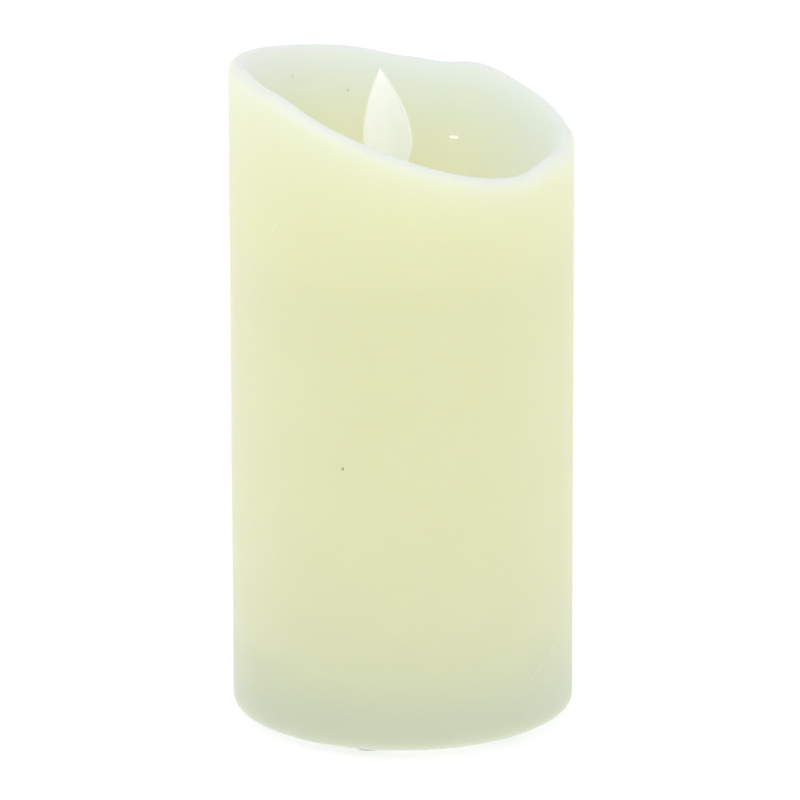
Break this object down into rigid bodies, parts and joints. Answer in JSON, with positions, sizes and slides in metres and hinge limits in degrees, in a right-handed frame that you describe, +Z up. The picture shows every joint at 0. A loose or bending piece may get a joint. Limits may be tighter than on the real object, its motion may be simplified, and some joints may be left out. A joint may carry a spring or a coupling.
{
  "type": "flameless led candle",
  "caption": "Ivory pillar candle with a sloping wavy rim, a swinging flame paddle over a drive coil, and a hinged battery door in its base.",
  "frame": {"origin": "centre of the pillar, on the surface that its feet stand on", "axes": "+Z up along the pillar; -Y is the front, where the switch is; +X to the right of the front"},
  "size_m": [0.078, 0.078, 0.154],
  "materials": {
    "wax": "smooth ivory wax, slightly translucent",
    "core_plastic": "moulded off-white plastic",
    "base_plastic": "fine moulded texture",
    "door_plastic": "fine moulded texture",
    "silicone": "clear silicone, slightly frosted",
    "steel_screw": "zinc plated",
    "knob_plastic": "satin black",
    "switch_metal": "stamped and plated",
    "pin_brass": "tinned brass",
    "board_green": "solder mask over glass board",
    "chip_black": "moulded epoxy",
    "capacitor_sleeve": "shrink sleeve",
    "small_parts": "chip parts and a plated crystal can",
    "cell_wrap": "printed sleeve, plain, with bare metal ends",
    "contact_plate": "nickel plated",
    "spring_steel": "plated spring wire",
    "flame_plastic": "milky translucent",
    "magnet_nickel": "nickel plated",
    "wire_steel": "polished wire",
    "case_plastic": "black moulded plastic",
    "bobbin_plastic": "natural nylon",
    "copper_wire": "enamelled copper",
    "led_epoxy": "water clear epoxy",
    "sleeve_black": "soft black sleeve",
    "lead_red": "insulated wire",
    "lead_black": "insulated wire",
    "lead_yellow": "insulated wire",
    "lead_white": "insulated wire"
  },
  "bodies": {
    "root": {"wax_shell": "wax", "inner_barrel": "core_plastic", "base_housing": "base_plastic", "foot_1": "silicone", "foot_2": "silicone", "foot_3": "silicone", "foot_4": "silicone", "base_screws": "steel_screw", "switch_body": "switch_metal", "switch_pins": "pin_brass", "control_pcb": "board_green", "control_chip": "chip_black", "pcb_capacitor": "capacitor_sleeve", "pcb_parts": "small_parts", "pcb_screws": "steel_screw", "battery_cell_1": "cell_wrap", "battery_cell_2": "cell_wrap", "positive_plate": "contact_plate", "negative_plate": "contact_plate", "bridge_plate": "contact_plate", "negative_spring": "spring_steel", "bridge_spring": "spring_steel", "pivot_wire": "wire_steel", "module_case_front": "case_plastic", "module_case_back": "case_plastic", "case_screws": "steel_screw", "module_screws": "steel_screw", "coil_bobbin": "bobbin_plastic", "coil_winding": "copper_wire", "led": "led_epoxy", "led_sleeve": "sleeve_black", "battery_lead_red": "lead_red", "battery_lead_black": "lead_black", "led_lead_red": "lead_red", "led_lead_black": "lead_black", "coil_lead_yellow": "lead_yellow", "coil_lead_white": "lead_white"},
    "flame_paddle": {"flame": "flame_plastic", "flame_magnet": "magnet_nickel"},
    "switch_slider": {"switch_knob": "knob_plastic"},
    "door": {"battery_door": "door_plastic"}
  },
  "joints": [
    {"name": "flame_swing", "type": "hinge", "parent": "root", "child": "flame_paddle", "pos_m": [0, 0, 0.104], "axis": [0, 1, 0], "range_deg": [-5, 17]},
    {"name": "switch_slide", "type": "slide", "parent": "root", "child": "switch_slider", "axis": [1, 0, 0], "range_m": [-0.0025, 0.0025]},
    {"name": "door_hinge", "type": "hinge", "parent": "root", "child": "door", "pos_m": [0.0276, 0, 0.0042], "axis": [0, -1, 0], "range_deg": [0, 85]}
  ]
}
